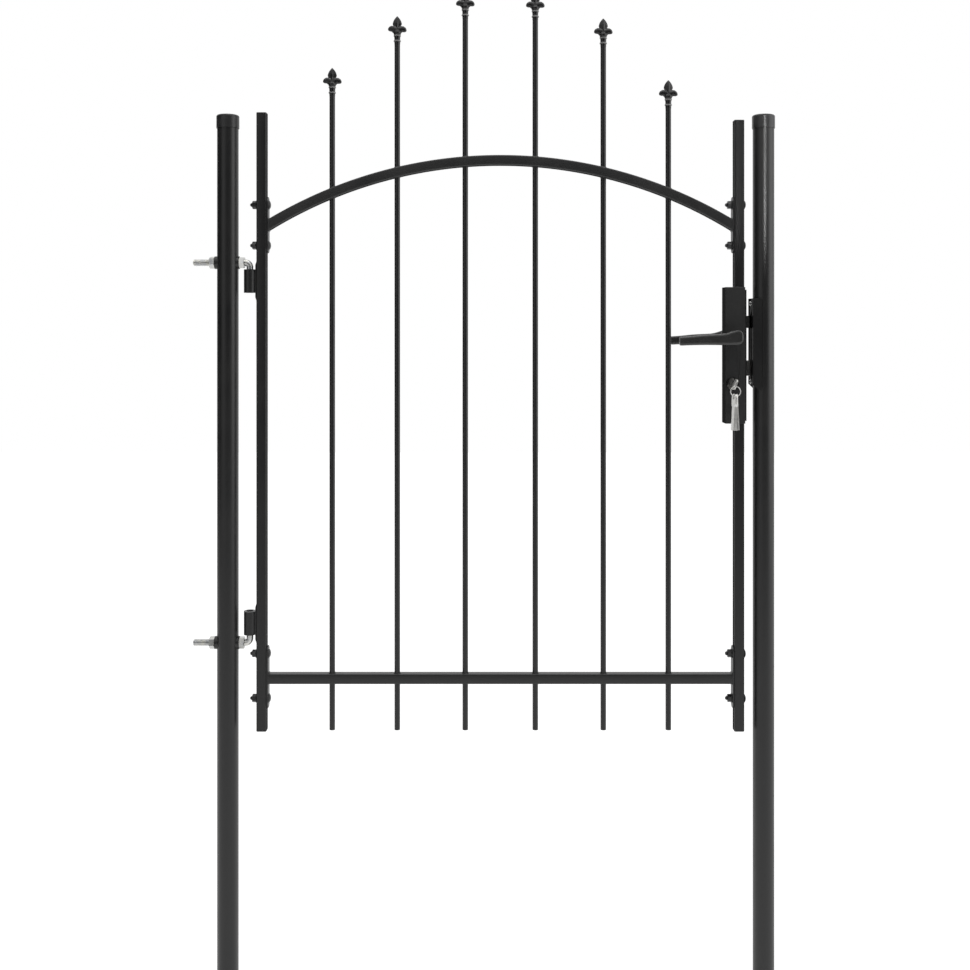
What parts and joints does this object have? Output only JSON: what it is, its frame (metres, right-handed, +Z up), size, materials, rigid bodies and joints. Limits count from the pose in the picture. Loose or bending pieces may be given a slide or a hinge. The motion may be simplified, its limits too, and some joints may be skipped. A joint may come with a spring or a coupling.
{
  "type": "arched steel garden gate with posts",
  "caption": "Single-leaf black steel garden gate with an arched top rail, spear-headed bars, adjustable bolt hinges, a lever lock and its two round posts.",
  "frame": {"origin": "centre of the hinge post's foot face", "axes": "+X from the hinge post to the latch post, +Y away from the side with the key, +Z up"},
  "size_m": [1.0463, 0.114, 1.8205],
  "materials": {
    "powder_coat": "satin black powder coat on steel",
    "cast_spear": "satin black powder coat on a casting",
    "black_fastener": "black coated fastener steel",
    "lever_coat": "satin black coat on cast aluminium",
    "cap_plastic": "dark moulded plastic",
    "zinc_steel": "bright zinc plate on threaded steel",
    "lock_steel": "bare satin steel",
    "lock_nickel": "satin nickel plate"
  },
  "bodies": {
    "posts": {"hinge_post": "powder_coat", "latch_post": "powder_coat", "hinge_post_cap": "cap_plastic", "latch_post_cap": "cap_plastic", "upper_hinge_rod": "zinc_steel", "lower_hinge_rod": "zinc_steel", "hinge_rod_nuts": "zinc_steel", "saddle_washers": "black_fastener", "keeper": "powder_coat"},
    "leaf": {"hinge_stile": "powder_coat", "latch_stile_upper": "powder_coat", "latch_stile_lower": "powder_coat", "stile_plugs": "cap_plastic", "arched_rail": "powder_coat", "bottom_rail": "powder_coat", "bar_1": "powder_coat", "bar_2": "powder_coat", "bar_3": "powder_coat", "bar_4": "powder_coat", "bar_5": "powder_coat", "bar_6": "powder_coat", "spear_1": "cast_spear", "spear_2": "cast_spear", "spear_3": "cast_spear", "spear_4": "cast_spear", "spear_5": "cast_spear", "spear_6": "cast_spear", "upper_end_plates": "powder_coat", "lower_end_plates": "powder_coat", "hinge_stile_bolts": "black_fastener", "latch_stile_bolts": "black_fastener", "hinge_stile_nuts": "black_fastener", "latch_stile_nuts": "black_fastener", "upper_hinge_barrel": "powder_coat", "lower_hinge_barrel": "powder_coat", "lock_case": "powder_coat", "lock_faceplate": "powder_coat", "lock_body": "lock_steel", "lock_cylinder": "lock_nickel"},
    "levers": {"front_lever": "lever_coat", "back_lever": "lever_coat", "lever_spindle": "lock_steel"},
    "latch": {"latch_bolt": "lock_steel"},
    "dead_bolt": {"dead_bolt": "lock_steel"},
    "key": {"cylinder_plug": "lock_nickel", "gate_key": "lock_nickel"}
  },
  "joints": [
    {"name": "gate_swing", "type": "hinge", "parent": "posts", "child": "leaf", "pos_m": [0.0398, 0, 0.65], "axis": [0, 0, 1], "range_deg": [-90, 90]},
    {"name": "lever_turn", "type": "hinge", "parent": "leaf", "child": "levers", "pos_m": [0.905, 0, 1.197], "axis": [0, -1, 0], "range_deg": [0, 45], "stiffness_Nm_per_rad": 0.8, "springref_deg": -20.05},
    {"name": "latch_slide", "type": "slide", "parent": "leaf", "child": "latch", "axis": [-1, 0, 0], "range_m": [0, 0.014]},
    {"name": "key_turn", "type": "hinge", "parent": "leaf", "child": "key", "pos_m": [0.905, 0, 1.1132], "axis": [0, -1, 0], "range_deg": [0, 360]},
    {"name": "dead_bolt_slide", "type": "slide", "parent": "leaf", "child": "dead_bolt", "axis": [-1, 0, 0], "range_m": [0, 0.02]}
  ],
  "couplings": [
    {"joint": "latch_slide", "follows": "lever_turn", "m_per_rad": 0.017825},
    {"joint": "key_turn", "follows": "dead_bolt_slide", "rad_per_m": 314.16}
  ]
}
